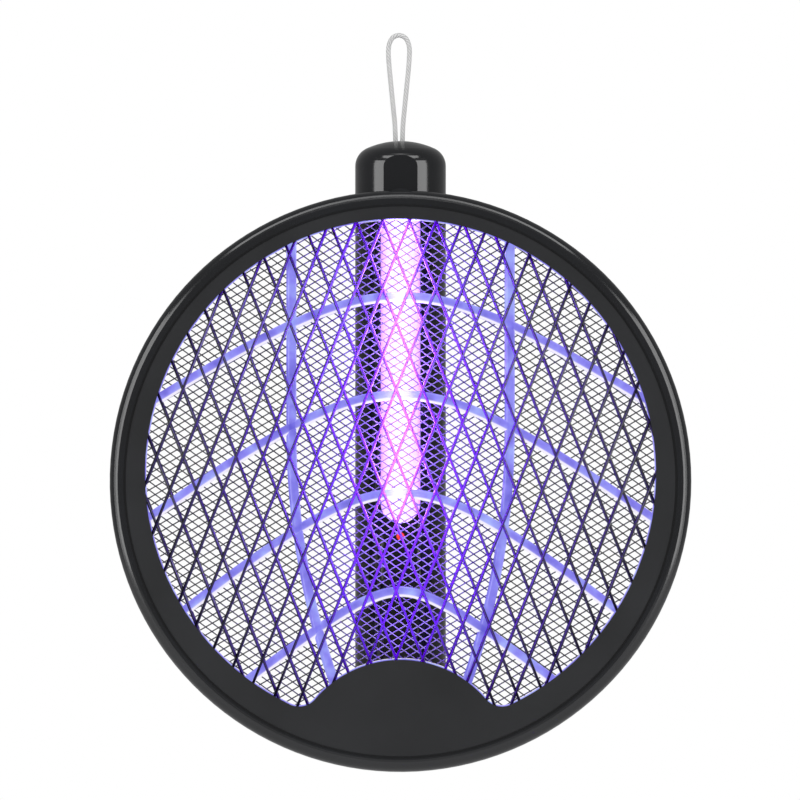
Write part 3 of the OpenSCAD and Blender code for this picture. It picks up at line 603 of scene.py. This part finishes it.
# %% Metals and plain inner parts
def grained(material_name, dark, light, roughness, grain, metallic=0.0, stretch=(1, 1, 1), relief=0.01):
    """A surface with grain millimetres between marks, stretched for drawn or brushed metal."""
    material, tree, shader = finish_for(material_name, Metallic=metallic, Roughness=roughness)
    place = add(tree, "TexCoord").outputs["Object"]
    pulled = add(tree, "Mapping", {"Scale": stretch}, {"Vector": place})
    marks = add(tree, "TexNoise", {"Scale": 1000 / grain, "Detail": 2.0},
                {"Vector": pulled.outputs["Vector"]})
    tint = add(tree, "ValToRGB", {"stops": [(0.3, dark), (0.7, light)]}, {0: marks.outputs["Fac"]})
    tree.links.new(tint.outputs["Color"], shader.inputs["Base Color"])
    change = add(tree, "MapRange", {"To Min": roughness * 0.8, "To Max": roughness * 1.25},
                 {"Value": marks.outputs["Fac"]})
    tree.links.new(change.outputs["Result"], shader.inputs["Roughness"])
    bump = add(tree, "Bump", {"Strength": 0.3, "Distance": relief * MM}, {"Height": marks.outputs["Fac"]})
    tree.links.new(bump.outputs["Normal"], shader.inputs["Normal"])
    LIBRARY[material_name] = material


grained("screw_steel", "#8f9094", "#b4b5b8", 0.3, 0.6, metallic=1.0, stretch=(1, 0.1, 1))
grained("contact_brass", "#b08d3e", "#cfae62", 0.28, 0.8, metallic=1.0, stretch=(1, 1, 0.1))
grained("reflector_white", "#e6e6ea", "#f2f2f4", 0.35, 1.5)
grained("board_white", "#dadade", "#e8e8ea", 0.4, 1.0)
grained("led_lens", "#e2dcf0", "#f0ecfa", 0.2, 1.0)
grained("board_green", "#0e4a22", "#17602f", 0.32, 1.6)
grained("ferrite_grey", "#2a2a2d", "#38383b", 0.55, 0.5, relief=0.02)
grained("capacitor_film", "#7c1e0f", "#94301c", 0.3, 1.2)
grained("chip_black", "#0f0f10", "#19191a", 0.5, 0.4)
grained("cell_sleeve", "#1e5a94", "#2a6aa6", 0.3, 2.0)
grained("lead_sleeve", "#7c130f", "#931d17", 0.4, 1.0)

# %% Give every piece its finish
for name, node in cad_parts.items():
    for place_of in node.material_slots:
        key = place_of.material.name.split(".")[0]
        place_of.material = LIBRARY[key]
for piece, key in [(live, "live_metal"), (front_ribs, "spacer_clear"), (rear_ribs, "spacer_clear")] + [
        (g, "guard_black") for g in guards]:
    piece.data.materials.clear()
    piece.data.materials.append(LIBRARY[key])
print(len(LIBRARY), "finishes")

# %% [markdown]
# ## Light, floor and background
# Two tall softboxes in front, left and right, draw the upright highlights on the rounded black
# parts, and a wide one above draws the arc on the dome. The background is white where the camera
# sees it and dim where the plastic mirrors it, so that black parts stay black against white.
# Light that the lamp scatters into the meshes is too faint to trace well, so strips in front of
# the meshes stand for it. Each reaches only its own pieces by light linking, and stays with the
# lamp when the head opens. Everything stands over a plain pale floor, low enough to leave room
# for the head when it is opened.


# %% Lights
def softbox(name, place, aim, width, height, power, colour="#ffffff", only=None):
    """A rectangular area light at place, turned towards aim, both in metres."""
    data = bpy.data.lights.new(name, "AREA")
    data.shape, data.size, data.size_y, data.energy = "RECTANGLE", width, height, power
    data.color = linear(colour)[:3]
    light = bpy.data.objects.new(name, data)
    place, aim = np.array(place, float), np.array(aim, float)
    light.location = place
    look = Vector(aim - place)
    light.rotation_euler = look.to_track_quat("-Z", "Y").to_euler()
    light.visible_camera = False
    bpy.context.scene.collection.objects.link(light)
    if only:
        light.light_linking.receiver_collection = only
    return light


middle = (0, -0.02, -0.14)
softbox("box_left", (-1.15, -0.72, -0.1), middle, 0.62, 1.6, 15)
softbox("box_right", (1.15, -0.72, -0.1), middle, 0.62, 1.6, 15)
softbox("box_above", (0.0, -0.75, 1.25), middle, 2.2, 0.5, 16)

# the lamp's own light, and strips in front of the meshes that stand for the light they scatter
groups = {}
for name, pieces in [("guards_only", guards), ("live_only", [live]), ("ribs_only", [front_ribs, rear_ribs])]:
    groups[name] = bpy.data.collections.new(name)
    for piece in pieces:
        groups[name].objects.link(piece)
low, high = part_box("lamp_lens")
lamp_middle = (low.z + high.z) / 2
guard_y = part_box("front_guard_mesh")[0].y
live_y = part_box("live_mesh")[0].y
softbox("lamp_light", (0, low.y - 0.0006, lamp_middle), (0, -1, lamp_middle), 0.014, 0.118, 0.6, "#8a5cff")


def strip(name, y, z, width, length, power, colour, only):
    """An upright strip light that faces the meshes from the front and isn't mirrored in them."""
    light = softbox(name, (0, y, z), (0, 0, z), width, length, power, colour, groups[only])
    light.visible_glossy = False


strip("violet_on_guards", guard_y - 0.032, lamp_middle - 0.02, 0.02, 0.19, 26.0, "#6000e8", "guards_only")
strip("violet_on_live", live_y - 0.032, lamp_middle - 0.02, 0.02, 0.19, 3.0, "#6000e8", "live_only")
strip("lamp_on_guards", guard_y - 0.003, lamp_middle, 0.011, 0.118, 1.6, "#d878ff", "guards_only")
strip("lamp_on_live", live_y - 0.003, lamp_middle - 0.028, 0.033, 0.21, 0.45, "#d6c6ff", "live_only")
strip("lamp_on_ribs", guard_y - 0.003, lamp_middle, 0.008, 0.114, 0.12, "#ffffff", "ribs_only")
rim = softbox("wire_rim", (1.28, 0.25, -0.1), middle, 1.3, 1.3, 90, "#ffffff", groups["guards_only"])
rim.light_linking.blocker_collection = groups["guards_only"]

world = bpy.data.worlds.new("white")
bpy.context.scene.world = world
world.use_nodes = True
tree = world.node_tree
seen = tree.nodes["Background"]
seen.inputs["Color"].default_value = (1, 1, 1, 1)
mirrored = add(tree, "Background", {"Color": (1, 1, 1, 1), "Strength": 0.32})
path = add(tree, "LightPath")
chosen = add(tree, "MixShader", links={
    0: path.outputs["Is Camera Ray"], 1: mirrored.outputs[0], 2: seen.outputs[0]})
tree.links.new(chosen.outputs[0], tree.nodes["World Output"].inputs["Surface"])
bpy.context.scene.view_settings.view_transform = "Standard"

# %% Floor
FLOOR_Z = -0.52
floor_mesh = bpy.data.meshes.new("floor")
ring = arc(0, 0, 7.0, 0, 2 * math.pi, 64)[:-1]
floor_mesh.from_pydata([(x, y, FLOOR_Z) for x, y in ring], [], [list(range(64))])
floor = bpy.data.objects.new("floor", floor_mesh)
bpy.context.scene.collection.objects.link(floor)
material, tree, shader = finish_for("painted_floor", Roughness=0.9)
place = add(tree, "TexCoord").outputs["Object"]
plaster = add(tree, "TexNoise", {"Scale": 40.0, "Detail": 3.0}, {"Vector": place})
tint = add(tree, "ValToRGB", {"stops": [(0.3, "#f0f0f0"), (0.7, "#f6f6f6")]}, {0: plaster.outputs["Fac"]})
tree.links.new(tint.outputs["Color"], shader.inputs["Base Color"])
floor_mesh.materials.append(material)
